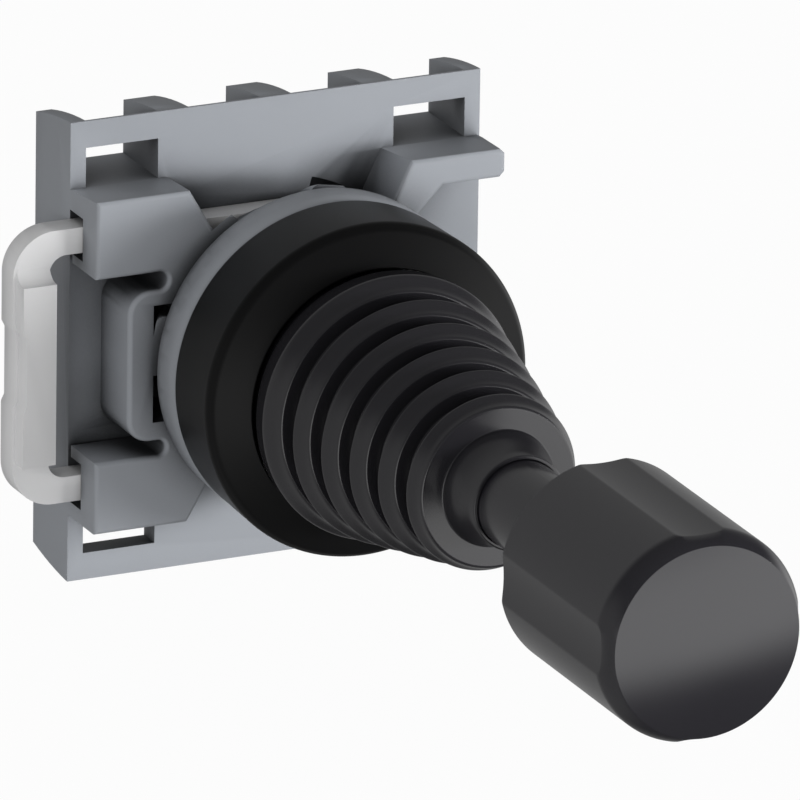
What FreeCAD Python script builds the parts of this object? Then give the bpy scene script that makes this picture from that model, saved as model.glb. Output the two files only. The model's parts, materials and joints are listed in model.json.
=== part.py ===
import FreeCAD, Part
import math
import os

# A two-axis spring-return stick for a 22 mm panel hole, with the holder that locks it from
# behind. The stick points at the operator along -Y, +Z is up, +X is right, and the origin is
# the centre of the panel hole in the plane of the seal's rear face. Lengths are millimetres.

V = FreeCAD.Vector

# Clearances
running_gap = 0.05      # a pin or plunger in its bore, radial
guide_gap = 0.06        # a plunger in its guide hole, radial
nest_gap = 0.10         # between nested turned parts, radial
slide_gap = 0.25        # in front of the fork in its channel
face_gap = 0.05         # behind the fork

# Stick and pivot
tilt_limit = 15.0       # degrees each way on both axes
pivot_y = -6.2
shaft_radius = 3.0
tail_radius = 2.0
thread_radius = 2.5
sleeve_radius = 4.0
sleeve_start_y = -18.0
knob_back_y = -59.5
knob_radius = 9.65
knob_length = 21.9
knob_bevel_length = 1.9
knob_bevel_width = 0.95
knob_crown = 0.75
knob_back_bevel = 0.25
sleeve_socket_depth = 2.0
flute_radius = 13.8
flute_depth = 0.45
insert_radius = 4.5
insert_length = 13.0
insert_cover = 2.5      # knob behind the insert, over the sleeve's end

# Gimbal
ring_inner_radius = 5.0
ring_outer_radius = 8.6
ring_height = 4.4
hub_radius = 4.6
hub_height = 6.8
hub_end_radius = 3.7
hub_waist = 3.0
pin_radius = 1.2
gimbal_pin_reach = 12.6
gimbal_pin_root = 5.8
cross_pin_reach = 8.2

# Rocker and plungers
rocker_face = 6.3       # pivot to the rocker's rear face
rocker_thickness = 1.6
rocker_radius = 6.3
rocker_boss_radius = 3.2
rocker_boss_height = 1.2
rocker_floor = 0.6
plunger_circle = 4.6
plunger_radius = 1.3
plunger_tip_gap = 0.62
plunger_tip_flat = 0.4
plunger_reach_y = 11.3
plunger_collar_radius = 2.25
plunger_collar_y = 3.0
plunger_collar_thickness = 1.0
spring_wire = 0.42
spring_turns = 3.5
spring_seat_gap = 0.05

# Head body
flange_radius = 14.3
flange_front_y = -8.6
neck_radius = 11.0
neck_length = 11.0
neck_wall = 2.2         # behind the gimbal's bore
gimbal_bore = 9.6
gimbal_bore_depth = 7.6
key_width = 3.0
key_height = 1.2
key_length = 2.1
groove_cut = 1.1        # depth of the lock grooves in the neck
guide_front_y = 9.0
guide_thickness = 1.2
circlip_thickness = 0.6
circlip_depth = 0.8
circlip_width = 1.5
circlip_opening = 50.0  # degrees

# Bezel, collar and seal
bezel_back_radius = 15.35
bezel_rim_radius = 15.6
bezel_depth = 7.5
bezel_nose = 1.6
bezel_mouth = 11.85
bezel_lip = 2.1
bezel_rim_round = 0.35
collar_depth = 4.1
collar_back_radius = 15.25
collar_waist = 0.1
collar_front_radius = 15.05
seal_radius = 14.6
seal_thickness = 0.6
seal_room = 0.3         # between the seal and the neck
gate_thickness = 1.2
gate_cup_radius = 10.3
gate_cup_wall = 1.0
gate_cup_reach = 2.6
gate_corner_round = 0.8

# Boot
boot_wall = 0.9
boot_bead_radius = 14.2
boot_neck_radius = 11.4
ridge_count = 6
ridge_first_y = -15.8
ridge_pitch = 4.2
ridge_first_radius = 12.25
ridge_taper = 0.8
ridge_width = 2.1
first_ridge_extra = 0.9
ridge_lean = 0.35
boot_bore_step = 1.9    # bore inside the ridges, less than the neck and the end ring
groove_depth = 1.6
groove_width = 0.8
boot_end_y = -38.8
boot_end_radius = 7.4
boot_collar_radius = 5.3
boot_collar_tip_radius = 4.35
boot_collar_length = 4.8

# Holder
panel_gap = 2.45
boss_height = 6.05
plate_thickness = 2.3
holder_depth = 7.64
holder_width = 40.0
holder_height = 43.2
holder_drop = 0.33      # its middle below the stick's axis
edge_bevel = 1.4
edge_land = 0.3
bay_pitch = 10.0
rib_width = 3.0
side_wall = 1.5
rib_drop = 1.25
rib_foot_cut = 4.6
rear_wall = 1.2         # between the neck and the hollow behind the plate
window_reach = 19.1     # from the holder's middle
upper_edge = 8.4        # inner and outer edges of the blocks, from the stick's axis
upper_reach = 15.65
upper_fall = 0.6        # the upper forms' tops fall by this much towards the plate
lower_edge = 8.8
lower_reach = 15.55
block_right = 8.0
lip_gap = 0.6           # between the blocks' lips and the plate
block_slope_width = 3.0
block_slope_height = 5.1
shelf_thickness = 1.2
hook_left = 10.6
hook_slope_width = 2.9
hook_slope_height = 6.0
hook_right = 19.8
hook_thickness = 2.7
hook_elbow = 13.75
hook_diagonal = 5.2
hook_corner = 0.5
boss_left = 16.9
boss_half = 7.1         # from the holder's middle
boss_corner = 2.2
boss_slot_left = 14.5
boss_slots = ((-5.64, -1.21), (1.24, 5.38))     # from the stick's axis
web_left = 13.9
web_overlap = 0.5       # web into the boss and the blocks
wall_thickness = 1.4
lug_height = 2.3
lug_depth = 3.6
lug_corner = 0.8
lug_first_angle = 34.8
lug_width = 3.6
lug_count = 8
pocket_height = 1.3
pocket_start = 39.0
pocket_end = 75.0
pocket_depth = 1.7
front_round = 0.45

# Lock fork
fork_front_y = 5.9
fork_thickness = 2.55
fork_drop = 0.48        # its middle below the stick's axis
arm_inner = 10.45       # from the fork's middle
arm_height = 2.4
land_height = 1.65
land_start = -9.6
land_end = 2.6
land_slope = 0.7
channel_room = 0.85     # beside the arms, inside the blocks
channel_inner = 9.55    # from the holder's middle
bail_left = 26.6
bail_thickness = 3.5
bail_outer_round = 4.0
bail_inner_round = 1.6
pad_front_y = 4.2
pad_inset = 0.3
pad_low = -9.0
pad_high = 7.95
pad_cove = 1.35
thumb_depth = 0.3
thumb_half = 3.2

# Places that follow from the sizes above
bezel_back_y = -collar_depth
bezel_rim_y = bezel_back_y - bezel_depth
bezel_nose_y = bezel_rim_y - bezel_nose
gate_front_y = flange_front_y - gate_thickness
boot_bead_front_y = bezel_nose_y + bezel_lip
plate_front_y = panel_gap + boss_height
plate_back_y = plate_front_y + plate_thickness
holder_back_y = plate_front_y + holder_depth
holder_middle = -holder_drop
holder_top = holder_middle + holder_height / 2
holder_bottom = holder_middle - holder_height / 2
half_width = holder_width / 2
neck_bore = neck_radius - neck_wall
key_radius = neck_radius + key_height
seal_bore = neck_radius + seal_room
land_plane = neck_radius - groove_cut
land_inner = land_plane + running_gap
rear_bore = neck_radius + rear_wall
wall_radius = neck_radius + wall_thickness
lug_radius = wall_radius + lug_height
pocket_radius = wall_radius + pocket_height
fork_back_y = fork_front_y + fork_thickness
fork_middle = -fork_drop
sides = ((1, upper_edge, upper_reach), (-1, lower_edge, lower_reach))
shelf_top = upper_reach - upper_fall
channel_front_y = fork_front_y - slide_gap
insert_back_y = knob_back_y - insert_cover
knob_front_y = knob_back_y - knob_length
rocker_back_y = pivot_y + rocker_face
rocker_front_y = rocker_back_y - rocker_thickness
tail_end_y = rocker_back_y - rocker_floor
plunger_tip_y = rocker_back_y + plunger_tip_gap
guide_back_y = guide_front_y + guide_thickness
plunger_places = {"up": (0, 1), "down": (0, -1), "left": (-1, 0), "right": (1, 0)}


def wire(path, place):
    """Closed wire: (a, b) is a straight run to that point, (a, b, c, d) an arc by a, b to c, d."""
    edges = []
    here = path[0]
    for step in path[1:] + [path[0]]:
        end = step[-2:]
        if math.dist(here, end) > 1e-7:
            if len(step) == 4:
                edges.append(Part.Arc(place(*here), place(*step[:2]), place(*end)).toShape())
            else:
                edges.append(Part.LineSegment(place(*here), place(*end)).toShape())
        here = end
    return Part.Face(Part.Wire(edges))


def turned(path):
    """Solid of revolution about the stick's axis from a path of (radius, y)."""
    return wire(path, lambda r, y: V(r, y, 0)).revolve(V(0, 0, 0), V(0, 1, 0), 360)


def prism(path, front, back):
    """An (x, z) outline carried along Y."""
    return wire(path, lambda x, z: V(x, front, z)).extrude(V(0, back - front, 0))


def prism_x(path, left, right):
    """A (y, z) outline carried along X."""
    return wire(path, lambda y, z: V(left, y, z)).extrude(V(right - left, 0, 0))


def rod(radius, start, end, x=0, z=0):
    """Round bar along Y."""
    return Part.makeCylinder(radius, end - start, V(x, start, z), V(0, 1, 0))


def turned_at(path, x, z):
    """Solid of revolution about an axis parallel to the stick's."""
    shape = turned(path)
    shape.translate(V(x, 0, z))
    return shape


def crown_middle(radius, height, tip_y):
    """Middle point of the arc of a spherical crown whose tip lies on the axis."""
    ball = (radius ** 2 + height ** 2) / (2 * height)
    half = math.asin(radius / ball) / 2
    return ball * math.sin(half), tip_y + ball * (1 - math.cos(half))


def rod_x(radius, start, end, y):
    return Part.makeCylinder(radius, end - start, V(start, y, 0), V(1, 0, 0))


def rod_z(radius, start, end, y):
    return Part.makeCylinder(radius, end - start, V(0, y, start), V(0, 0, 1))


def box(x0, x1, y0, y1, z0, z1):
    return Part.makeBox(x1 - x0, y1 - y0, z1 - z0, V(x0, y0, z0))


def joined(shapes):
    return shapes[0].multiFuse(shapes[1:]).removeSplitter()


def mirrored(shape):
    """The shape's copy on the other side of the level plane through the axis."""
    return shape.mirror(V(0, 0, 0), V(0, 0, 1))


def sector(inner, outer, front, back, start, end):
    """Part of a ring about the axis between two angles in the XZ plane."""
    middle = math.radians((start + end) / 2)
    a, b = math.radians(start), math.radians(end)

    def at(radius, angle):
        return radius * math.cos(angle), radius * math.sin(angle)
    path = [at(inner, a), at(outer, a), at(outer, middle) + at(outer, b), at(inner, b),
            at(inner, middle) + at(inner, a)]
    return prism(path, front, back)


def softened(shape, radius, wanted):
    """Fillets the edges whose middle the test picks."""
    edges = [e for e in shape.Edges if wanted(e.valueAt((e.FirstParameter + e.LastParameter) / 2))]
    return shape.makeFillet(radius, edges)


def raised(*paths):
    """Raised forms of the holder: outlines carried from the front plane back to the plate."""
    forms = [prism(path, panel_gap, plate_front_y) for path in paths]
    form = joined(forms) if len(forms) > 1 else forms[0]
    return softened(form, front_round, lambda p: p.y < panel_gap + 0.01)


def holder_plate():
    top, bottom = holder_top, holder_bottom
    bevel_start = plate_front_y + edge_land
    path = [(plate_front_y, bottom), (plate_front_y, top), (bevel_start, top),
            (plate_back_y, top - edge_bevel), (plate_back_y, bottom + edge_bevel),
            (bevel_start, bottom)]
    return prism_x(path, -half_width, half_width)


def rib(left, right, foot):
    """Upright rib behind the plate, lower at its rear by a soft curve."""
    top, back_top = holder_top, holder_top - rib_drop
    start = plate_front_y + edge_land
    half = (start + holder_back_y) / 2
    path = [(start, top), (half, top - 0.36 * rib_drop, holder_back_y, back_top)]
    if foot > 0:
        path += [(holder_back_y, holder_bottom + foot), (start, holder_bottom + foot)]
    else:
        path += [(holder_back_y, holder_bottom + rib_drop),
                 (half, holder_bottom + 0.36 * rib_drop, start, holder_bottom)]
    return prism_x(path, left, right)


def block_outline(side, edge, reach):
    """Guide block of the fork at the left, sloped towards the collar."""
    return [(-half_width, side * edge), (-half_width, side * reach),
            (-block_right - block_slope_width, side * reach),
            (-block_right, side * (reach - block_slope_height)), (-block_right, side * edge)]


def boss_outline():
    """Thumb boss beside the collar, round at its left corners."""
    left, corner = -boss_left, boss_corner
    low, high = holder_middle - boss_half, holder_middle + boss_half
    bend = corner * (1 - math.sqrt(0.5))
    return [(-block_right, low), (left + corner, low),
            (left + bend, low + bend, left, low + corner),
            (left, high - corner), (left + bend, high - bend, left + corner, high),
            (-block_right, high)]


def web_outline(side, edge):
    """Web between the thumb boss and a block, hollow at its left end."""
    start, end = holder_middle + side * boss_half, side * edge
    depth, inside = abs(end - start) / 2, side * web_overlap
    return [(-web_left, start - inside), (-web_left, start),
            (-web_left + depth, (start + end) / 2, -web_left, end),
            (-web_left, end + inside), (-block_right, end + inside), (-block_right, start - inside)]


def hook_outline(side, reach):
    """Arm at the right that runs from the collar wall out past the window."""
    low, run, corner = reach - hook_thickness, hook_diagonal, hook_corner
    path = [(hook_left - hook_slope_width, reach - hook_slope_height), (hook_left, reach),
            (hook_right - corner, reach), (hook_right, reach - corner),
            (hook_right, low + corner), (hook_right - corner, low),
            (hook_elbow, low), (hook_elbow - run, low - run)]
    return [(x, side * z) for x, z in path]


def lug(angle):
    """Tooth on the front of the collar wall, round at its corners and tapered to the rear."""
    root, back, half = wall_radius - wall_thickness, panel_gap + lug_depth, lug_width / 2
    corner = lug_corner
    bend = corner * (1 - math.sqrt(0.5))
    outline = prism([(root, -half), (lug_radius - corner, -half),
                     (lug_radius - bend, bend - half, lug_radius, corner - half),
                     (lug_radius, half - corner),
                     (lug_radius - bend, half - bend, lug_radius - corner, half), (root, half)],
                    panel_gap, back)
    taper = wire([(root, panel_gap), (lug_radius, panel_gap), (wall_radius, back), (root, back)],
                 lambda x, y: V(x, y, -half)).extrude(V(0, 0, lug_width))
    tooth = outline.common(taper)
    tooth.rotate(V(0, 0, 0), V(0, 1, 0), -angle)
    return tooth


def fork_channels():
    """Ways for the fork: wide through the blocks, behind their lips, and open past the neck."""
    ways = []
    for side, edge, reach in sides:
        inner = holder_middle + side * channel_inner
        outer = fork_middle + side * (arm_inner + arm_height + channel_room)
        land = side * (land_inner - face_gap)
        for x0, x1, front, near, far in (
                (-half_width - 1, -block_right, channel_front_y, inner, outer),
                (-half_width - 1, -web_left, plate_front_y - lip_gap, side * (edge - 1), inner),
                (-block_right, land_end + slide_gap, channel_front_y, land, side * (lug_radius + 1))):
            ways.append(box(x0, x1, front, plate_front_y, min(near, far), max(near, far)))
    return ways


def holder_frame():
    bays = [bay_pitch * n for n in (-1, 0, 1)]
    ribs = [rib(x - rib_width / 2, x + rib_width / 2, rib_foot_cut) for x in bays]
    walls = [rib(-half_width, -half_width + side_wall, 0), rib(half_width - side_wall, half_width, 0)]
    hollow = rod(rear_bore, plate_back_y, holder_back_y + 1)
    rear = [r.cut(hollow) for r in ribs] + walls
    outer_bays = [(bay_pitch + rib_width / 2, half_width - side_wall)]
    outer_bays.append((-outer_bays[0][1], -outer_bays[0][0]))
    rear += [box(x0, x1, plate_front_y, holder_back_y, shelf_top - shelf_thickness, shelf_top)
             for x0, x1 in outer_bays]
    left = raised(boss_outline(), *(block_outline(*side) for side in sides),
                  *(web_outline(side, edge) for side, edge, reach in sides))
    for low, high in boss_slots:
        left = left.cut(box(-boss_slot_left, -block_right, panel_gap - 1, plate_front_y, low, high))
    hooks = [raised(hook_outline(side, reach)) for side, edge, reach in sides]
    above = prism_x([(panel_gap, upper_reach), (plate_front_y, shelf_top),
                     (plate_front_y, upper_reach + 1), (panel_gap, upper_reach + 1)],
                    -half_width - 1, half_width + 1)
    left, hooks[0] = left.cut(above), hooks[0].cut(above)
    lugs = [lug(lug_first_angle + n * 360 / lug_count) for n in range(lug_count)]
    wall = rod(wall_radius, panel_gap, plate_front_y)
    body = joined([holder_plate(), *rear, left, *hooks, wall, *lugs])
    body = body.cut(rod(neck_radius + nest_gap, panel_gap - 1, plate_back_y + 1))
    for low, high in ((shelf_top, holder_middle + window_reach),
                      (holder_middle - window_reach, -lower_reach)):
        for x0, x1 in outer_bays:
            body = body.cut(box(x0, x1, plate_front_y, plate_back_y, low, high))
    for way in fork_channels():
        body = body.cut(way)
    pocket = sector(wall_radius, pocket_radius, plate_front_y - 2, plate_front_y + pocket_depth,
                    pocket_start, pocket_end)
    return body.cut(pocket).cut(mirrored(pocket))


def lock_slide():
    """U-shaped fork with its pull bail; the lands near the arms' ends hold the head's neck."""
    left, inner_left = -bail_left, -bail_left + bail_thickness
    r, s = bail_outer_round, bail_inner_round
    rb, sb = r * (1 - math.sqrt(0.5)), s * (1 - math.sqrt(0.5))
    top_in, top_out = fork_middle + arm_inner, fork_middle + arm_inner + arm_height
    low_in, low_out = fork_middle - arm_inner, fork_middle - arm_inner - arm_height
    land_in, land_out = land_inner, land_inner + land_height
    step, tip = land_start + land_slope, land_end - land_slope
    path = [(left + r, top_out), (land_start, top_out), (step, land_out), (tip, land_out),
            (land_end, land_out - land_slope), (land_end, land_in),
            (step, land_in), (land_start, top_in), (inner_left + s, top_in),
            (inner_left + sb, top_in - sb, inner_left, top_in - s),
            (inner_left, low_in + s), (inner_left + sb, low_in + sb, inner_left + s, low_in),
            (land_start, low_in), (step, -land_in), (land_end, -land_in),
            (land_end, -land_out + land_slope), (tip, -land_out), (step, -land_out),
            (land_start, low_out), (left + r, low_out),
            (left + rb, low_out + rb, left, low_out + r),
            (left, -thumb_half - 2 * thumb_depth), (left + thumb_depth, -thumb_half),
            (left + thumb_depth, thumb_half), (left, thumb_half + 2 * thumb_depth),
            (left, top_out - r), (left + rb, top_out - rb)]
    path[-1] += path.pop(0)
    fork = prism(path, fork_front_y, fork_back_y)
    bend = 1 - math.sqrt(0.5)
    pad = prism_x([(fork_front_y, pad_high + pad_cove),
                   (fork_front_y - bend * (fork_front_y - pad_front_y), pad_high + bend * pad_cove,
                    pad_front_y, pad_high),
                   (pad_front_y, pad_low), (fork_front_y, pad_low)], left, inner_left)
    outline = prism(path, pad_front_y - 1, fork_front_y)
    outline.translate(V(pad_inset, 0, 0))
    return joined([fork, pad.common(outline)])


def head_body():
    """Flanged bush: the flange carries the gimbal pins, the neck passes the panel."""
    bore_step_y = flange_front_y + gimbal_bore_depth
    body = turned([(gimbal_bore, flange_front_y), (flange_radius, flange_front_y),
                   (flange_radius, bezel_back_y), (neck_radius, bezel_back_y),
                   (neck_radius, neck_length), (neck_bore, neck_length),
                   (neck_bore, bore_step_y), (gimbal_bore, bore_step_y)])
    key = box(-key_width / 2, key_width / 2, bezel_back_y, key_length, neck_radius - 1, key_radius)
    body = body.fuse(key)
    body = body.cut(rod_x(pin_radius + running_gap, -flange_radius - 1, flange_radius + 1, pivot_y))
    groove = box(-neck_radius, neck_radius, channel_front_y, plate_front_y + nest_gap,
                 land_plane, neck_radius + 1)
    clip_y = guide_back_y
    clip_groove = rod(neck_bore + circlip_depth, clip_y, clip_y + circlip_thickness)
    return body.cut(groove).cut(mirrored(groove)).cut(clip_groove)


def guide_cover():
    """Disc that guides the four plungers and carries their springs."""
    step_y = guide_front_y
    cover = rod(neck_bore - running_gap, step_y, guide_back_y)
    for x, z in plunger_places.values():
        cover = cover.cut(rod(plunger_radius + guide_gap, step_y - 1, guide_back_y + 1,
                              x * plunger_circle, z * plunger_circle))
    return cover


def guide_circlip():
    outer = neck_bore + circlip_depth
    clip = rod(outer, guide_back_y, guide_back_y + circlip_thickness)
    clip = clip.cut(rod(neck_bore - circlip_width, guide_back_y - 1, neck_length + 1))
    mouth = sector(1.0, outer + 1, guide_back_y - 1, neck_length + 1,
                   -90 - circlip_opening / 2, -90 + circlip_opening / 2)
    return clip.cut(mouth)


def bezel_ring():
    bore = flange_radius + nest_gap
    r, nose = bezel_rim_round, bezel_nose_y
    return turned([(bore, bezel_back_y), (bezel_back_radius, bezel_back_y),
                   (bezel_rim_radius, bezel_rim_y + r),
                   (bezel_rim_radius - r, bezel_rim_y),
                   (bezel_mouth, nose), (bezel_mouth, boot_bead_front_y),
                   (bore, boot_bead_front_y)])


def collar_ring():
    seat = seal_radius + nest_gap
    ring = turned([(neck_radius, bezel_back_y), (collar_front_radius, bezel_back_y),
                   (collar_back_radius + collar_waist, bezel_back_y * 0.72),
                   (collar_back_radius, 0), (seat, 0), (seat, -seal_thickness),
                   (neck_radius, -seal_thickness)])
    notch = box(-key_width / 2 - nest_gap, key_width / 2 + nest_gap,
                bezel_back_y, 1, 0, key_radius + nest_gap)
    return ring.cut(notch)


def panel_seal():
    ring = rod(seal_radius, -seal_thickness, 0).cut(rod(seal_bore, -1, 1))
    notch = box(-key_width / 2 - nest_gap, key_width / 2 + nest_gap, -1, 1, 0, key_radius + nest_gap)
    return ring.cut(notch)


def gate_plate():
    """Steel cup whose square opening stops the shaft at the tilt limit on both axes."""
    tilt = math.radians(tilt_limit)
    front = gate_front_y - gate_cup_reach
    side_step = math.tan(tilt) / math.cos(tilt)
    half = shaft_radius * math.hypot(1, side_step) + (pivot_y - front) * side_step + running_gap
    inner = gate_cup_radius - gate_cup_wall
    cup = turned([(0, front), (gate_cup_radius, front), (gate_cup_radius, gate_front_y),
                  (flange_radius, gate_front_y), (flange_radius, flange_front_y),
                  (inner, flange_front_y), (inner, front + gate_cup_wall),
                  (0, front + gate_cup_wall)])
    opening = box(-half, half, front - 1, flange_front_y, -half, half)
    opening = softened(opening, gate_corner_round,
                       lambda p: abs(abs(p.x) - half) + abs(abs(p.z) - half) < 0.01)
    return cup.cut(opening)


def bellows_boot():
    """Rubber bellows: bead under the bezel's lip, ridges that taper, and a neck on the sleeve."""
    path = [(boot_neck_radius - boot_wall, gate_front_y), (boot_bead_radius, gate_front_y),
            (boot_bead_radius, boot_bead_front_y), (boot_neck_radius, boot_bead_front_y)]
    half, half_groove = ridge_width / 2, groove_width / 2
    for n in range(ridge_count):
        radius = ridge_first_radius - ridge_taper * n
        middle = ridge_first_y - ridge_pitch * n
        valley = middle - ridge_pitch / 2
        if n == 0:
            path += [(boot_neck_radius, middle + half + first_ridge_extra),
                     (radius, middle + half + first_ridge_extra)]
        else:
            path.append((radius, middle + half))
        path.append((radius - ridge_lean, middle - half))
        if n < ridge_count - 1:
            floor = radius - ridge_taper / 2 - groove_depth
            path += [(floor, valley + half_groove), (floor, valley - half_groove)]
    tip_y = boot_end_y - boot_collar_length
    path += [(boot_end_radius, boot_end_y), (boot_collar_radius, boot_end_y),
             (boot_collar_tip_radius, tip_y), (sleeve_radius, tip_y),
             (sleeve_radius, boot_end_y + boot_wall),
             (boot_end_radius - boot_bore_step, boot_end_y + boot_wall),
             (boot_neck_radius - boot_bore_step, ridge_first_y),
             (boot_neck_radius - boot_wall, boot_bead_front_y - boot_wall)]
    return turned(path)


def gimbal_ring():
    half = ring_height / 2
    ring = rod(ring_outer_radius, pivot_y - half, pivot_y + half)
    ring = ring.cut(rod(ring_inner_radius, pivot_y - half - 1, pivot_y + half + 1))
    for side in (-1, 1):
        start, end = sorted((side * gimbal_pin_root, side * (ring_outer_radius + 1)))
        ring = ring.cut(rod_x(pin_radius, start, end, pivot_y))
    return ring.cut(rod_z(pin_radius + running_gap, -ring_outer_radius - 1, ring_outer_radius + 1, pivot_y))


def gimbal_pins():
    right = rod_x(pin_radius, gimbal_pin_root, gimbal_pin_reach, pivot_y)
    left = rod_x(pin_radius, -gimbal_pin_reach, -gimbal_pin_root, pivot_y)
    return Part.makeCompound([left, right])


def pivot_hub():
    """Barrel pressed on the shaft, free to swing inside the gimbal ring on the cross pin."""
    half, waist = hub_height / 2, hub_waist / 2
    barrel = turned([(shaft_radius, pivot_y - half), (hub_end_radius, pivot_y - half),
                     (hub_radius, pivot_y - waist), (hub_radius, pivot_y + waist),
                     (hub_end_radius, pivot_y + half), (shaft_radius, pivot_y + half)])
    return barrel.cut(rod_z(pin_radius, -hub_radius - 1, hub_radius + 1, pivot_y))


def cross_pin():
    return rod_z(pin_radius, -cross_pin_reach, cross_pin_reach, pivot_y)


def stick_shaft():
    """Steel shaft with a turned-down tail for the rocker and a stub inside the knob's insert."""
    shoulder_y = pivot_y + hub_height / 2
    stub_end_y = insert_back_y - insert_length + 1.0
    shaft = turned([(0, stub_end_y), (thread_radius, stub_end_y), (thread_radius, insert_back_y),
                    (shaft_radius, insert_back_y), (shaft_radius, shoulder_y),
                    (tail_radius, shoulder_y), (tail_radius, tail_end_y), (0, tail_end_y)])
    return shaft.cut(rod_z(pin_radius, -shaft_radius - 1, shaft_radius + 1, pivot_y))


def shaft_sleeve():
    sleeve = rod(sleeve_radius, knob_back_y - sleeve_socket_depth, sleeve_start_y)
    return sleeve.cut(rod(shaft_radius, knob_back_y - sleeve_socket_depth - 1, sleeve_start_y + 1))


def rocker():
    """Swash disc on the shaft's tail; its flat rear face pushes the plungers."""
    boss_front_y = rocker_front_y - rocker_boss_height
    return turned([(tail_radius, boss_front_y), (rocker_boss_radius, boss_front_y),
                   (rocker_boss_radius, rocker_front_y), (rocker_radius, rocker_front_y),
                   (rocker_radius, rocker_back_y), (0, rocker_back_y), (0, tail_end_y),
                   (tail_radius, tail_end_y)])


def plunger(direction):
    """Plunger with a bevelled tip, a spring collar and a plain rear end."""
    x, z = (plunger_circle * step for step in plunger_places[direction])
    r, tip, collar = plunger_radius, plunger_tip_y, plunger_collar_y
    return turned_at([(0, tip), (plunger_tip_flat, tip), (r, tip + r - plunger_tip_flat), (r, collar),
                      (plunger_collar_radius, collar),
                      (plunger_collar_radius, collar + plunger_collar_thickness),
                      (r, collar + plunger_collar_thickness), (r, plunger_reach_y),
                      (0, plunger_reach_y)], x, z)


def plunger_spring(direction):
    """Square-wire coil between the plunger's collar and the guide cover."""
    x, z = (plunger_circle * step for step in plunger_places[direction])
    start = plunger_collar_y + plunger_collar_thickness + spring_seat_gap
    room = guide_front_y - spring_seat_gap - start
    radius = (plunger_collar_radius + plunger_radius) / 2
    rise = room - spring_wire
    helix = Part.makeHelix(rise / spring_turns, rise, radius)
    half = spring_wire / 2
    corners = [V(radius - half, 0, -half), V(radius + half, 0, -half),
               V(radius + half, 0, half), V(radius - half, 0, half)]
    section = Part.makePolygon(corners + corners[:1])
    coil = Part.Wire(helix.Edges).makePipeShell([section], True, True)
    coil.rotate(V(0, 0, 0), V(1, 0, 0), -90)
    coil.translate(V(x, start + half, z))
    return coil


def knob_insert():
    insert = rod(insert_radius, insert_back_y - insert_length, insert_back_y)
    return insert.cut(rod(thread_radius, insert_back_y - insert_length + 1.0, insert_back_y + 1))


def knob():
    """Round knob with a front bevel, a low crown and four finger flutes that end on the bevel."""
    r, back, front = knob_radius, knob_back_y, knob_front_y
    face_radius = r - knob_bevel_width
    bevel_y = front + knob_crown + knob_bevel_length
    bore = insert_radius
    body = turned([(sleeve_radius, insert_back_y), (sleeve_radius, back),
                   (r - knob_back_bevel, back), (r, back - knob_back_bevel),
                   (r, bevel_y), (face_radius, front + knob_crown),
                   crown_middle(face_radius, knob_crown, front) + (0, front),
                   (0, insert_back_y - insert_length), (bore, insert_back_y - insert_length),
                   (bore, insert_back_y)])
    centre = r + flute_radius - flute_depth
    for x, z in plunger_places.values():
        body = body.cut(rod(flute_radius, front - 1, back + 1, x * centre, z * centre))
    return body


nodes = {
    "holder_frame": holder_frame,
    "lock_slide": lock_slide,
    "head_body": head_body,
    "guide_cover": guide_cover,
    "guide_circlip": guide_circlip,
    "bezel_ring": bezel_ring,
    "collar_ring": collar_ring,
    "panel_seal": panel_seal,
    "gate_plate": gate_plate,
    "bellows_boot": bellows_boot,
    "gimbal_ring": gimbal_ring,
    "gimbal_pins": gimbal_pins,
    "pivot_hub": pivot_hub,
    "cross_pin": cross_pin,
    "stick_shaft": stick_shaft,
    "shaft_sleeve": shaft_sleeve,
    "rocker": rocker,
    "knob_insert": knob_insert,
    "knob": knob,
}

os.makedirs("parts", exist_ok=True)
for name, make in nodes.items():
    make().exportStep(f"parts/{name}.step")
for direction in plunger_places:
    plunger(direction).exportStep(f"parts/plunger_{direction}.step")
    plunger_spring(direction).exportStep(f"parts/plunger_spring_{direction}.step")
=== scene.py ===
import json
import math
import bpy
import bmesh
import numpy as np
from mathutils import Matrix, Vector


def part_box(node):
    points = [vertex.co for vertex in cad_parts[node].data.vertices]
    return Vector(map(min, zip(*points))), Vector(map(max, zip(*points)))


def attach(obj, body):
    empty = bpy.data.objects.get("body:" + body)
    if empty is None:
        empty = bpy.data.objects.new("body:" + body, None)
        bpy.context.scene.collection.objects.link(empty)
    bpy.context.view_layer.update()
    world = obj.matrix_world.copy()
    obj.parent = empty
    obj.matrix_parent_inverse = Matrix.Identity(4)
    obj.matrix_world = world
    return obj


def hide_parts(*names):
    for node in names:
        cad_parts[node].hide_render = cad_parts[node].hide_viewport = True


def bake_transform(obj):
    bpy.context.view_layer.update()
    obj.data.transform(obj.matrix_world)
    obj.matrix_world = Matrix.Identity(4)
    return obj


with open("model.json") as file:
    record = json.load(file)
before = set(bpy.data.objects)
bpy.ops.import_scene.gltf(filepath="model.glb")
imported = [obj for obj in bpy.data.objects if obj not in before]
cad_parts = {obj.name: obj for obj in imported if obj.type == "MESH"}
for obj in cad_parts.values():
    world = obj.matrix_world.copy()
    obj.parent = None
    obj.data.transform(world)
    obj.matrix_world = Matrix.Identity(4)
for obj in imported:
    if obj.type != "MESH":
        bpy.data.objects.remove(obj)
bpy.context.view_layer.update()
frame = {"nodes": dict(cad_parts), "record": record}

mm = 0.001  # lengths in the pieces' dictionaries are in mm; x is right, y is back, z is up


# camera
print("stage: camera")

viewpoint = {
    "place": (-0.610213, -1.323305, 0.513703),  # metres
    "yaw": 25.061,    # degrees to the right of +Y
    "pitch": 19.577,  # degrees below the horizon
    "roll": 0.84,     # degrees
    "lens": 781.94, "sensor": 36,
    "clip": (0.1, 20),
}


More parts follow.
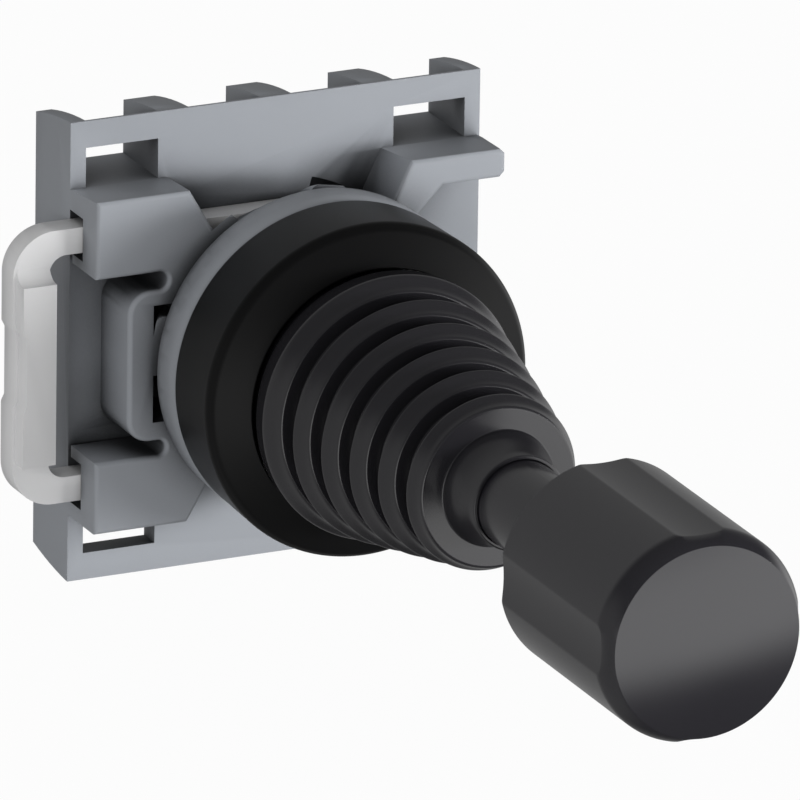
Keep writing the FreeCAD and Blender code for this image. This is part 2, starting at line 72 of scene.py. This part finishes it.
def makeCamera(v):
    yaw, pitch, roll = (math.radians(v[k]) for k in ("yaw", "pitch", "roll"))
    ahead = Vector((math.sin(yaw) * math.cos(pitch), math.cos(yaw) * math.cos(pitch), -math.sin(pitch)))
    level = ahead.cross(Vector((0, 0, 1))).normalized()
    upright = level.cross(ahead)
    right = level * math.cos(roll) + upright * math.sin(roll)
    up = upright * math.cos(roll) - level * math.sin(roll)
    turn = Matrix((right, up, -ahead)).transposed().to_4x4()
    data = bpy.data.cameras.new("camera")
    data.lens, data.sensor_width = v["lens"], v["sensor"]
    data.clip_start, data.clip_end = v["clip"]
    camera = bpy.data.objects.new("camera", data)
    camera.matrix_world = Matrix.Translation(v["place"]) @ turn
    bpy.context.collection.objects.link(camera)
    bpy.context.scene.camera = camera


makeCamera(viewpoint)


# node maths

class Wire:
    # one output in a material's nodes; Python's operators add Math nodes to it
    def __init__(self, tree, socket=None):
        self.tree, self.socket = tree, socket

    def node(self, kind, settings=None, sockets=None, out=0):
        made = self.tree.nodes.new(kind)
        for name, value in (settings or {}).items():
            setattr(made, name, value)
        for name, value in (sockets or {}).items():
            if isinstance(value, Wire):
                self.tree.links.new(value.socket, made.inputs[name])
            else:
                made.inputs[name].default_value = value
        return Wire(self.tree, made.outputs[out])

    def calc(self, operation, a, b):
        return self.node("ShaderNodeMath", {"operation": operation}, {0: a, 1: b})

    def __add__(self, other):
        return self.calc("ADD", self, other)

    def __radd__(self, other):
        return self.calc("ADD", other, self)

    def __sub__(self, other):
        return self.calc("SUBTRACT", self, other)

    def __rsub__(self, other):
        return self.calc("SUBTRACT", other, self)

    def __mul__(self, other):
        return self.calc("MULTIPLY", self, other)

    def __rmul__(self, other):
        return self.calc("MULTIPLY", other, self)

    def between(self, low, high):  # 0 at low, 1 at high, smooth and clamped
        return self.node("ShaderNodeMapRange", {"interpolation_type": "SMOOTHSTEP"},
                         {"Value": self, "From Min": low, "From Max": high, "To Min": 0.0, "To Max": 1.0})

    def blendColour(self, a, b):  # colour a where this is 0, b where it is 1
        return self.node("ShaderNodeMix", {"data_type": "RGBA"}, {0: self, 6: a, 7: b}, out=2)


# finishes
print("stage: finishes")

texture = {
    # a fine grain changes the surface and its roughness, a slow cloud the tone and the roughness
    "grain": {"Detail": 3.0, "Roughness": 0.6}, "cloud": {"Scale": 90.0, "Detail": 2.0},
    "cloudTone": 0.08, "cloudRough": 0.08, "grainRough": 0.04, "relief": 0.6,
    "rays": 16, "room": (0.05, 0.72),  # how open a place must be for its painted shade to start to clear and to be clear
}
finishes = {
    # colours are linear; grain is the texture's size and height in metres; cavity is how far
    # a slot's walls may stand apart and still get painted shade, and dark the share of colour left in that
    # painted shade
    "greyPlastic": {"colour": (0.29, 0.305, 0.33), "rough": 0.5, "grain": (0.00022, 0.000005),
                    "cavity": 0.008, "room": (0.2, 0.85), "dark": 0.07, "gloss": 0.4},
    # the same grey as greyPlastic with deeper and wider painted shade, for the collar's sides beside the
    # bezel and the boss
    "collarGreyShaded": {"colour": (0.29, 0.305, 0.33), "rough": 0.5, "grain": (0.00022, 0.000005),
                   "cavity": 0.02, "room": (0.35, 1.0), "dark": 0.03, "gloss": 0.4},
    "palePlastic": {"colour": (0.7, 0.7, 0.705), "rough": 0.48, "grain": (0.00022, 0.000004),
                    "cavity": 0.003, "dark": 0.5, "gloss": 0.4},
    "mattBlack": {"colour": (0.0034, 0.0034, 0.0036), "rough": 0.4, "grain": (0.00016, 0.000001),
                  "cavity": 0.002, "dark": 0.5, "gloss": 0.23},
    "knobBlack": {"colour": (0.013, 0.0124, 0.0155), "rough": 0.15, "grain": (0.00016, 0.0000004),
                  "cavity": 0.002, "dark": 0.5, "gloss": 0.95},
    "bootRubber": {"colour": (0.0155, 0.015, 0.0175), "rough": 0.18, "grain": (0.00018, 0.0000005),
                   "cavity": 0.003, "dark": 0.06, "gloss": 0.9},
    "plainSteel": {"colour": (0.56, 0.56, 0.55), "rough": 0.3, "metal": 1.0, "grain": (0.0003, 0.000002)},
    "springSteel": {"colour": (0.42, 0.42, 0.43), "rough": 0.28, "metal": 1.0, "grain": (0.0002, 0.000002)},
    "nylon": {"colour": (0.72, 0.7, 0.63), "rough": 0.45, "grain": (0.00025, 0.000005),
              "cavity": 0.002, "dark": 0.5},
    "brass": {"colour": (0.68, 0.5, 0.24), "rough": 0.3, "metal": 1.0, "grain": (0.0003, 0.000003)},
}
finishOfSlot = {"grey_plastic": "greyPlastic", "pale_plastic": "palePlastic", "black_plastic": "mattBlack",
                "black_rubber": "bootRubber", "plain_steel": "plainSteel", "spring_steel": "springSteel",
                "nylon": "nylon", "brass": "brass"}
finishOfNode = {"shaft_sleeve": "knobBlack", "collar_ring": "collarGreyShaded"}  # nodes that look unlike their slot: the sleeve is glossier, and the collar carries deeper painted shade


def makeFinish(name, f):
    material = bpy.data.materials.new(name)
    material.use_nodes = True
    tree = material.node_tree
    shader = tree.nodes["Principled BSDF"]
    start = Wire(tree)
    place = start.node("ShaderNodeTexCoord", out=3)  # Object coordinates
    size, height = f["grain"]
    grain = start.node("ShaderNodeTexNoise",
                       sockets={"Vector": place, "Scale": 1 / size, **texture["grain"]})
    cloud = start.node("ShaderNodeTexNoise", sockets={"Vector": place, **texture["cloud"]})

    tone = 1 - texture["cloudTone"] / 2 + texture["cloudTone"] * cloud
    light = start.node("ShaderNodeMix", {"data_type": "RGBA", "blend_type": "MULTIPLY"},
                       {0: 1.0, 6: (*f["colour"], 1.0), 7: tone}, out=2)
    if "cavity" in f:  # painted shade: deep slots and inside corners are darkened in the colour by how little open room an ambient occlusion test finds around them
        room = start.node("ShaderNodeAmbientOcclusion", {"samples": texture["rays"]},
                          {"Distance": f["cavity"]}, out=1)
        shade = room.between(*f.get("room", texture["room"]))
        dark = tuple(c * f["dark"] for c in f["colour"]) + (1.0,)
        light = shade.blendColour(dark, light)
    tree.links.new(light.socket, shader.inputs["Base Color"])

    rough = f["rough"] + texture["cloudRough"] * (cloud - 0.5) + texture["grainRough"] * (grain - 0.5)
    tree.links.new(rough.socket, shader.inputs["Roughness"])
    shader.inputs["Metallic"].default_value = f.get("metal", 0.0)
    shader.inputs["Specular IOR Level"].default_value = f.get("gloss", 0.5)
    bump = start.node("ShaderNodeBump",
                      sockets={"Strength": texture["relief"], "Distance": height, "Height": grain})
    tree.links.new(bump.socket, shader.inputs["Normal"])
    return material


materials = {name: makeFinish(name, f) for name, f in finishes.items()}
slotOf = {s["node"]: s["material_slot"] for s in frame["record"]["subparts"]}
bodyOf = {node: body for body, nodes in frame["record"]["behaviour"]["bodies"].items() for node in nodes}


def finishOf(node):
    return finishOfNode.get(node, finishOfSlot[slotOf[node]])


for name, node in frame["nodes"].items():
    for s in node.material_slots:
        s.material = materials[finishOf(name)]


# surfaces

weld = 0.002  # points nearer than this are one point


def nodeSpan(node, axis):
    # where a node begins and ends along an axis
    low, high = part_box(node)
    return round(low[axis] / mm, 3), round(high[axis] / mm, 3)


def roundedProfile(corners, reach, steps=6, closed=True, sideShare=0.45, past=1.1):
    # each corner B between sides BA and BC becomes the parabola (1-t)^2 P + 2t(1-t) B + t^2 Q, where
    # P and Q lie on the two sides at the corner's reach, which takes no more than sideShare of a side;
    # a point just past each of them keeps the flats flat
    b = np.array(corners, float)
    reach = np.broadcast_to(np.array(reach, float), len(b))[:, None]
    a, c = np.roll(b, 1, 0), np.roll(b, -1, 0)
    toA, toC = a - b, c - b
    lengthA, lengthC = (np.linalg.norm(v, axis=1)[:, None] for v in (toA, toC))
    r = np.minimum(reach, sideShare * np.minimum(lengthA, lengthC))
    p, q = b + toA / lengthA * r, b + toC / lengthC * r
    t = np.linspace(0, 1, steps)[None, :, None]
    arc = (1 - t) ** 2 * p[:, None] + 2 * t * (1 - t) * b[:, None] + t ** 2 * q[:, None]
    before, after = b + toA / lengthA * r * past, b + toC / lengthC * r * past
    points = np.concatenate([before[:, None], arc, after[:, None]], 1)
    if not closed:
        points[0], points[-1] = b[0], b[-1]
    return points.reshape(-1, 2)


def gridObject(name, points, wrapAcross, finish):
    # points[i, j] is a grid of places; i goes round and always closes, j goes along the profile
    turns, along = points.shape[:2]
    i, j = np.meshgrid(np.arange(turns), np.arange(along if wrapAcross else along - 1), indexing="ij")
    nextI, nextJ = (i + 1) % turns, (j + 1) % along
    corners = (i * along + j, nextI * along + j, nextI * along + nextJ, i * along + nextJ)
    mesh = bpy.data.meshes.new(name)
    mesh.from_pydata(points.reshape(-1, 3), [], np.stack(corners, -1).reshape(-1, 4))
    form = bmesh.new()
    form.from_mesh(mesh)
    bmesh.ops.remove_doubles(form, verts=form.verts, dist=weld * mm)
    bmesh.ops.recalc_face_normals(form, faces=form.faces)
    form.to_mesh(mesh)
    form.free()
    mesh.shade_smooth()
    piece = bpy.data.objects.new(name, mesh)
    bpy.context.collection.objects.link(piece)
    mesh.materials.append(materials[finish])
    return piece


def spun(profile, turns=240):
    # (radius, y) carried round the stick's axis: x = radius cos a, z = radius sin a
    angle = np.linspace(0, 2 * np.pi, turns, endpoint=False)[:, None]
    radius, y = profile[None, :, 0], profile[None, :, 1]
    return np.stack([radius * np.cos(angle), y + 0 * angle, radius * np.sin(angle)], -1)


# bellows boot
print("stage: boot")

sleeveRadius = nodeSpan("shaft_sleeve", 2)[1]
boot = {
    # corners are (radius, y), or (radius, y, how far the corner's rounding reaches)
    "neck": ((11.4, -11.6, 0.2), (11.4, -13.3, 0.2), (12.15, -14.3, 0.8)),
    # the first ridge's crest; each next one is a step in and forward
    "crest": (12.38, -16.5), "step": (0.83, 4.13), "ridges": 6,
    # each front face slants in and forward from its lip, and dips by the hollow on the way
    "face": (1.08, 1.5), "hollow": (0.13, 0.091), "dipAt": 0.6,
    "groove": 1.5, "undercut": 0.12, "back": 0.35,
    "ridgeEdges": (0.36, 0.5, 0.22), "floorEdges": (0.2, 0.3),
    "end": (7.4, -38.8),  # the last front face ends here
    "collar": ((5.3, 0.0, 0.16), (5.3, 0.35, 0.25), (4.65, 2.4, 0.9), (4.4, 4.4, 0.15)),  # y from the end
    "sleeve": sleeveRadius + 0.02,
    "bore": ((10.4, -11.6), (9.3, -15.8), (5.3, -37.7)),
    "innerEdge": 0.1,
    "splitRidge": 1,  # the two shells meet on the floor of the groove before this ridge, counted from 0
    "bendStart": -12.0,
}


def bootCorners(b):
    # down the outside, from the bezel to the sleeve; a ridge has the corners crest, dip and front,
    # and the floor's two ends follow it
    corners = list(b["neck"])
    t = b["dipAt"]
    for n in range(b["ridges"]):
        last = n == b["ridges"] - 1
        radius, y = b["crest"][0] - b["step"][0] * n, b["crest"][1] - b["step"][1] * n
        front = b["end"] if last else (radius - b["face"][0], y - b["face"][1])
        dip = ((1 - t) * radius + t * front[0] - b["hollow"][0], (1 - t) * y + t * front[1] + b["hollow"][1])
        corners += [(*place, edge) for place, edge in zip(((radius, y), dip, front), b["ridgeEdges"])]
        if not last:
            floor, frontEdge, backEdge = front[0] - b["groove"], *b["floorEdges"]
            corners += [(floor, front[1] + b["undercut"], frontEdge),
                        (floor, y - b["step"][1] + b["back"], backEdge)]
    endY = b["end"][1]
    corners += [(radius, endY - beyond, edge) for radius, beyond, edge in b["collar"]]
    corners.append((b["sleeve"], endY - b["collar"][-1][1], b["innerEdge"]))
    return np.array(corners)


def makeBoot(b):
    # two shells that meet on the floor of a groove
    corners = bootCorners(b)
    perRidge = len(b["ridgeEdges"]) + len(b["floorEdges"])
    split = len(b["neck"]) + perRidge * b["splitRidge"] - 1  # the corner where that floor ends
    seamY = (corners[split - 1, 1] + corners[split, 1]) / 2
    seam = (corners[split, 0], seamY, b["innerEdge"])
    neckBore, startBore, endBore = b["bore"]
    share = (seamY - startBore[1]) / (endBore[1] - startBore[1])
    seamBore = (startBore[0] + share * (endBore[0] - startBore[0]), seamY)
    shells = (
        ("boot_rear", np.vstack([corners[:split], [seam]]), (seamBore, startBore, neckBore),
         "root", "cradle", b["bendStart"], seamY),
        ("boot_front", np.vstack([[seam], corners[split:]]), ((b["sleeve"], endBore[1]), endBore, seamBore),
         "cradle", "stick", seamY, b["end"][1]),
    )
    for name, outside, bore, rearBody, frontBody, start, end in shells:
        path = np.vstack([outside[:, :2], bore])
        reach = np.concatenate([outside[:, 2], np.full(len(bore), b["innerEdge"])])
        piece = gridObject(name, spun(roundedProfile(path, reach)) * mm, True, "bootRubber")
        start * mm
        end * mm
        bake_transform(piece)
        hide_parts("bellows_boot")


makeBoot(boot)


# knob
print("stage: knob")

knobFront, knobBack = nodeSpan("knob", 1)
knob = {
    "front": knobFront, "back": knobBack, "radius": 9.65,
    "bevelLength": 1.9, "bevelWidth": 0.95, "crown": 0.75,
    "sleeve": sleeveRadius, "socket": 2.4,
    "edges": (0.1, 0.1, 0.22, 0.34, 0.26),  # how far each corner's rounding reaches
    "flutes": 4, "fluteRadius": 13.8, "fluteDepth": 0.45, "fluteSoft": 0.05,
    "rounding": 7, "turns": 720, "sideRows": 60, "crownRows": 26,
    "clear": (1.0, 0.8),  # how far the side's even rows stay from the back edge and from the bevel
    "seamStep": 0.05, "solidRim": 0.5,
}


def makeKnob(k):
    back, front = k["back"], k["front"]
    face, bevelY = k["radius"] - k["bevelWidth"], front + k["crown"] + k["bevelLength"]
    corners = [(k["sleeve"], back - k["socket"]), (k["sleeve"], back), (k["radius"], back),
               (k["radius"], bevelY), (face, front + k["crown"])]
    outline = roundedProfile(corners, k["edges"], steps=k["rounding"], closed=False)[:-1]
    # the crown is a ball's cap: y = front + R - sqrt(R^2 - radius^2)
    ball = (face ** 2 + k["crown"] ** 2) / (2 * k["crown"])
    crown = np.linspace(outline[-1, 0] - k["seamStep"], 0, k["crownRows"])[:, None]
    dome = np.hstack([crown, front + ball - np.sqrt(ball ** 2 - crown ** 2)])
    side = np.linspace(back - k["clear"][0], bevelY + k["clear"][1], k["sideRows"])[:, None]
    middle = (back + bevelY) / 2
    profile = np.vstack([outline[outline[:, 1] > middle], np.hstack([0 * side + k["radius"], side]),
                         outline[outline[:, 1] < middle], dome])

    angle = np.linspace(0, 2 * np.pi, k["turns"], endpoint=False)[:, None]
    radius, y = profile[None, :, 0], profile[None, :, 1]
    # a flute is a round bar of radius R whose axis lies at c from the knob's, so at an angle f from its
    # middle its near wall is at c cos f - sqrt(R^2 - (c sin f)^2); the knob keeps the smaller of its own
    # radius and that, and the two blend where they are nearer to each other than fluteSoft
    centre = k["radius"] + k["fluteRadius"] - k["fluteDepth"]
    step = 2 * np.pi / k["flutes"]
    f = (angle + step / 2) % step - step / 2
    inside = k["fluteRadius"] ** 2 - (centre * np.sin(f)) ** 2
    wall = np.where(inside > 0, centre * np.cos(f) - np.sqrt(np.maximum(inside, 0)), centre)
    h = np.clip(0.5 + 0.5 * (wall - radius) / k["fluteSoft"], 0, 1)  # 0 in the flute, 1 on the round
    cut = wall * (1 - h) + radius * h - k["fluteSoft"] * h * (1 - h)
    cut = np.where(radius > k["sleeve"] + k["solidRim"], np.minimum(cut, radius), radius)
    points = np.stack([cut * np.cos(angle), y + 0 * angle, cut * np.sin(angle)], -1)
    piece = gridObject("knob_shell", points * mm, False, "knobBlack")
    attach(piece, "stick")
    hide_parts("knob")


makeKnob(knob)


# bezel
print("stage: bezel")

bezelNose, bezelRear = nodeSpan("bezel_ring", 1)
bezel = {
    "nose": bezelNose, "rear": bezelRear, "outside": nodeSpan("bezel_ring", 0)[1] - 0.02,
    "inside": 14.4, "opening": 11.85, "lip": 2.1,
    "skirt": 7.15, "taper": 0.23, "crease": (0.48, 0.7),
    "edges": (0.1, 0.25, 0.3, 0.25, 0.2, 0.1, 0.1),  # how far each corner's rounding reaches
}


def makeBezel(b):
    # (radius, y) round the ring's section: a skirt, a crease, a cone to the nose, and a lip inside
    creaseY, lipY = b["rear"] - b["skirt"], b["nose"] + b["lip"]
    section = [(b["inside"], b["rear"]), (b["outside"] - b["taper"], b["rear"]), (b["outside"], creaseY),
               (b["outside"] - b["crease"][0], creaseY - b["crease"][1]), (b["opening"], b["nose"]),
               (b["opening"], lipY), (b["inside"], lipY)]
    points = spun(roundedProfile(section, b["edges"]))
    ring = gridObject("bezel_shell", points * mm, True, "mattBlack")
    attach(ring, "root")
    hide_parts("bezel_ring")


makeBezel(bezel)


# holder, lock and collar
print("stage: holder")

softEdges = {
    "widths": {"holder_frame": 0.16, "lock_slide": 0.2, "collar_ring": 0.12},
    "weld": 0.001, "flat": 0.5, "sharp": 38, "segments": 2,  # flat and sharp are in degrees
}


def softCopy(name, width, finish):
    # a rigid node with its sharp edges rounded: its triangles are merged, its flat faces are made
    # whole, and its edges are bevelled
    mesh = frame["nodes"][name].data.copy()
    mesh.name = name + "_soft"
    form = bmesh.new()
    form.from_mesh(mesh)
    bmesh.ops.remove_doubles(form, verts=form.verts, dist=softEdges["weld"] * mm)
    bmesh.ops.dissolve_limit(form, angle_limit=math.radians(softEdges["flat"]),
                             verts=form.verts, edges=form.edges)
    form.to_mesh(mesh)
    form.free()
    piece = bpy.data.objects.new(name + "_soft", mesh)
    bpy.context.collection.objects.link(piece)
    mesh.materials.clear()
    mesh.materials.append(materials[finish])
    mesh.shade_smooth()
    bevel = piece.modifiers.new("edges", "BEVEL")
    bevel.width, bevel.segments = width, softEdges["segments"]
    bevel.limit_method, bevel.angle_limit = "ANGLE", math.radians(softEdges["sharp"])
    bevel.harden_normals = True
    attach(piece, bodyOf[name])
    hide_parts(name)


for name, width in softEdges["widths"].items():
    softCopy(name, width * mm, finishOf(name))


# floor and light
print("stage: light")

studio = {
    "floorZ": -31.0,  # just below the lowest place that the knob reaches
    "floorSize": 6.0, "floorColour": (0.8, 0.8, 0.8, 1), "floorRough": 0.9, "floorGlow": 0.96,
    "sky": 0.35,
    # gloss sees a bright band low in front, with a dim room above and below it, and a grey room on the
    # left and behind; across and left are directions, and the pairs are where each starts and is full
    "across": (-0.14, 0.0, 0.99), "band": (-0.54, -0.4, -0.2, 0.2), "bandLight": 1.4, "dimLight": 0.1,
    "left": (-0.9, 0.0, -0.43), "leftRise": (0.45, 0.85), "leftLight": 0.3,
    "back": (0.1, 0.8), "backLight": 0.3,
    "lamps": (
        # place and size in metres, power in watts
        ((0.46, -0.54, 0.045), (0.45, 0.13), 5.0),
        ((-0.7, -0.8, 0.22), (0.8, 0.34), 4.6),
    ),
    "aim": (0, -0.03, 0),
}


def makeWorld(s):
    world = bpy.data.worlds.new("studio")
    world.use_nodes = True
    bpy.context.scene.world = world
    tree = world.node_tree
    start = Wire(tree)
    rays = tree.nodes.new("ShaderNodeLightPath")
    camera, glossy, clear = (Wire(tree, rays.outputs[n]) for n in
                             ("Is Camera Ray", "Is Glossy Ray", "Is Transmission Ray"))
    way = start.node("ShaderNodeTexCoord")  # in a world, the direction that is looked in
    dot = {"operation": "DOT_PRODUCT"}
    height = start.node("ShaderNodeVectorMath", dot, {0: way, 1: s["across"]}, out=1)
    toLeft = start.node("ShaderNodeVectorMath", dot, {0: way, 1: s["left"]}, out=1)
    low, rise, fall, high = s["band"]
    band = height.between(low, rise) * (1.0 - height.between(fall, high))
    beside = toLeft.between(*s["leftRise"])
    behind = start.node("ShaderNodeSeparateXYZ", sockets={0: way}, out=1).between(*s["back"])
    front = s["dimLight"] + (s["bandLight"] - s["dimLight"]) * band
    front = front + beside * (s["leftLight"] - front)
    gloss = front + behind * (s["backLight"] - front)
    seen = (camera + clear).between(0.0, 1.0)
    level = s["sky"] + glossy * (gloss - s["sky"])
    strength = level + seen * (1.0 - level)
    ground = tree.nodes["Background"]
    ground.inputs["Color"].default_value = (1, 1, 1, 1)
    tree.links.new(strength.socket, ground.inputs["Strength"])


def makeLamps(s):
    middle = Vector(s["aim"])
    for n, (place, size, power) in enumerate(s["lamps"]):
        lamp = bpy.data.lights.new(f"lamp{n}", "AREA")
        lamp.shape = "RECTANGLE"
        lamp.size, lamp.size_y = size
        lamp.energy = power
        holder = bpy.data.objects.new(f"lamp{n}", lamp)
        holder.visible_glossy = holder.visible_camera = False
        holder.location = place
        holder.rotation_euler = (middle - Vector(place)).to_track_quat("-Z", "Y").to_euler()
        bpy.context.collection.objects.link(holder)


def makeFloor(s):
    bpy.ops.mesh.primitive_plane_add(size=s["floorSize"], location=(0, 0, s["floorZ"] * mm))
    floor = bpy.context.object
    floor.name = "floor"
    floor.visible_glossy = False
    paint = bpy.data.materials.new("floorPaint")
    paint.use_nodes = True
    tree = paint.node_tree
    shader = tree.nodes["Principled BSDF"]
    shader.inputs["Base Color"].default_value = s["floorColour"]
    shader.inputs["Roughness"].default_value = s["floorRough"]
    start = Wire(tree)
    rays = tree.nodes.new("ShaderNodeLightPath")
    white = start.node("ShaderNodeEmission", sockets={"Color": (1, 1, 1, 1), "Strength": 1.0})
    share = s["floorGlow"] * Wire(tree, rays.outputs["Is Camera Ray"])
    both = start.node("ShaderNodeMixShader", sockets={0: share, 1: Wire(tree, shader.outputs[0]), 2: white})
    tree.links.new(both.socket, tree.nodes["Material Output"].inputs["Surface"])
    floor.data.materials.append(paint)


makeWorld(studio)
makeLamps(studio)
makeFloor(studio)
bpy.context.scene.view_settings.view_transform = "Standard"
